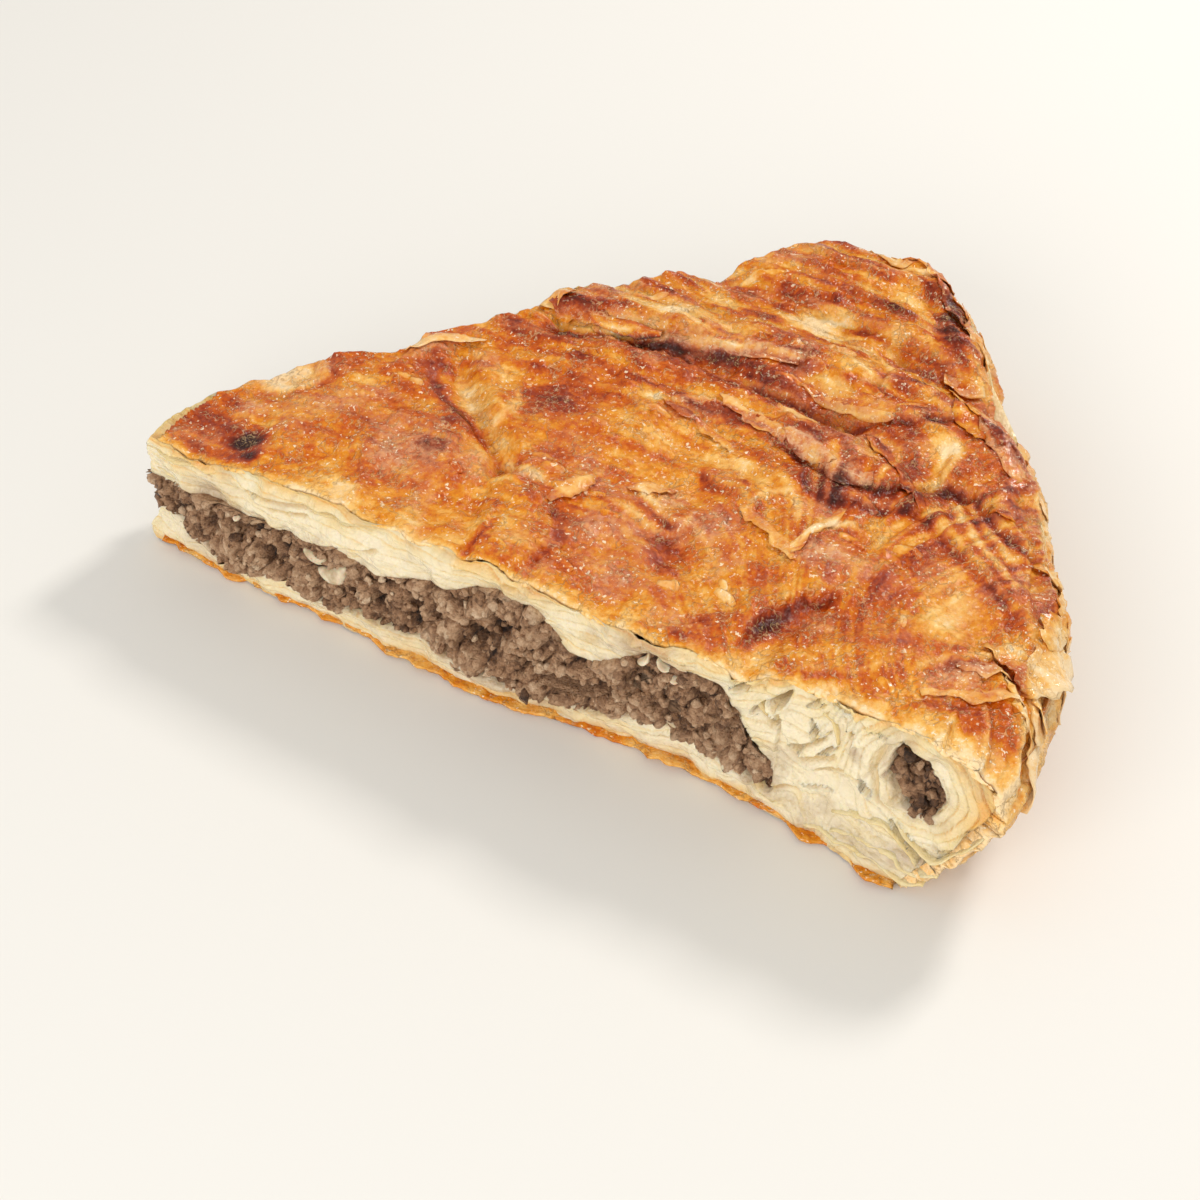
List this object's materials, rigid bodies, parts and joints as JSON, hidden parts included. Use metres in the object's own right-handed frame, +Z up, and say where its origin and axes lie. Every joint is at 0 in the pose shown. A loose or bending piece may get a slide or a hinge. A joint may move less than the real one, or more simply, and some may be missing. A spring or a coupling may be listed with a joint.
{
  "type": "meat borek wedge",
  "caption": "Wedge cut from a round baked borek: thin browned pastry leaves above and below a layer of minced meat, with a rolled outer edge.",
  "frame": {"origin": "middle of the base, on the surface that the wedge lies on", "axes": "+X along the middle of the wedge from its blunt tip to the outer edge, -Y towards the front cut, +Z up out of the browned top"},
  "size_m": [0.2024, 0.1662, 0.0403],
  "materials": {
    "pastry": "baked golden brown, lightly oiled",
    "meat": "cooked mince, moist",
    "onion": "soft cooked onion"
  },
  "bodies": {
    "root": {"pastry": "pastry", "meat_layer": "meat", "meat_roll": "meat", "onion_piece": "onion"}
  },
  "joints": []
}
